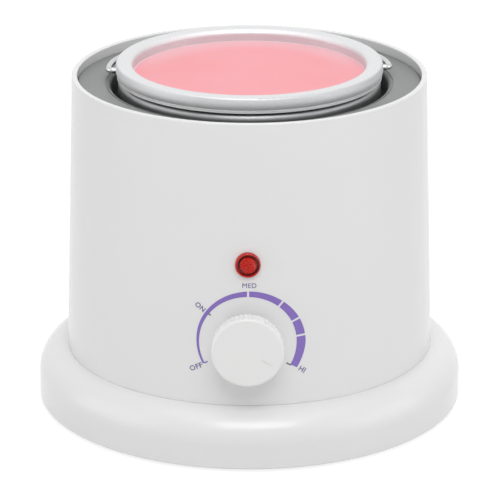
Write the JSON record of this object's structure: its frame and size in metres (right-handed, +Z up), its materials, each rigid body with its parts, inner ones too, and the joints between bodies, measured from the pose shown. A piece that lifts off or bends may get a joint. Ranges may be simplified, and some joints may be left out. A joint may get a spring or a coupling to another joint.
{
  "type": "wax warmer pot",
  "caption": "Round wax warmer: tapered white shell on a wide base with control knob and pilot lamp, holding a heated well and a lift-out metal pot of wax with a wire bail.",
  "frame": {"origin": "centre of the footprint on the table plane, at the underside of the rubber feet", "axes": "+Z up along the pot's axis, -Y towards the user (knob and lamp), +Y towards the cord gland"},
  "size_m": [0.22, 0.22, 0.18],
  "materials": {
    "white_plastic": "gloss",
    "knob_plastic": "satin",
    "cover_plastic": "matte",
    "black_rubber": "matte",
    "zinc_steel": "satin",
    "grey_paint": "satin",
    "chassis_steel": "satin",
    "well_aluminium": "satin",
    "pot_aluminium": "satin",
    "pink_wax": "gloss",
    "bail_steel": "polished",
    "heater_mica": "matte",
    "glass_wool": "matte",
    "black_plastic": "matte",
    "brass": "satin",
    "copper_tube": "satin",
    "red_lens": "gloss",
    "neon_glass": "gloss",
    "ivory_plastic": "matte",
    "lead_brown": "satin",
    "lead_blue": "satin",
    "lead_green": "satin",
    "lead_white": "satin",
    "grey_silicone": "satin"
  },
  "bodies": {
    "housing": {"base_ring": "white_plastic", "outer_shell": "white_plastic", "bottom_cover": "cover_plastic", "rubber_feet": "black_rubber", "cover_screws": "zinc_steel", "shell_screws": "zinc_steel", "deck_ring": "grey_paint", "deck_screws": "zinc_steel", "deck_seal": "grey_silicone", "chassis_plate": "chassis_steel", "chassis_screws": "zinc_steel", "well_pillars": "chassis_steel", "pillar_screws": "zinc_steel", "heating_well": "well_aluminium", "heater_band": "heater_mica", "heater_clamp_screw": "zinc_steel", "heater_clamp_nut": "zinc_steel", "insulation_sleeve": "glass_wool", "thermostat_bracket": "chassis_steel", "bracket_screws": "zinc_steel", "thermostat_body": "black_plastic", "thermostat_blades": "brass", "thermostat_bush": "brass", "bush_nut": "zinc_steel", "sensor_bulb": "copper_tube", "capillary_tube": "copper_tube", "bulb_clip": "chassis_steel", "thermal_fuse": "zinc_steel", "fuse_clip": "chassis_steel", "clip_screws": "zinc_steel", "lamp_lens": "red_lens", "lamp_nut": "black_plastic", "neon_bulb": "neon_glass", "lamp_leads": "lead_white", "cord_gland": "white_plastic", "gland_nut": "white_plastic", "terminal_block": "ivory_plastic", "terminal_screws": "brass", "block_screws": "zinc_steel", "earth_screw": "brass", "earth_lead": "lead_green", "lead_live": "lead_brown", "lead_switched": "lead_brown", "lead_heater": "lead_brown", "lead_neutral": "lead_blue"},
    "knob": {"knob": "knob_plastic", "knob_clip": "zinc_steel", "thermostat_shaft": "zinc_steel"},
    "pot": {"pot": "pot_aluminium", "wax_fill": "pink_wax"},
    "bail": {"bail_handle": "bail_steel"}
  },
  "joints": [
    {"name": "knob_turn", "type": "hinge", "parent": "housing", "child": "knob", "pos_m": [0, -0.1, 0.0623], "axis": [0, 1, 0], "range_deg": [-236.5, 0]},
    {"name": "pot_lift", "type": "slide", "parent": "housing", "child": "pot", "axis": [0, 0, 1], "range_m": [0, 0.12]},
    {"name": "bail_swing", "type": "hinge", "parent": "pot", "child": "bail", "pos_m": [0, 0, 0.1756], "axis": [0.9986, 0.0523, 0], "range_deg": [0, 187.6]}
  ]
}
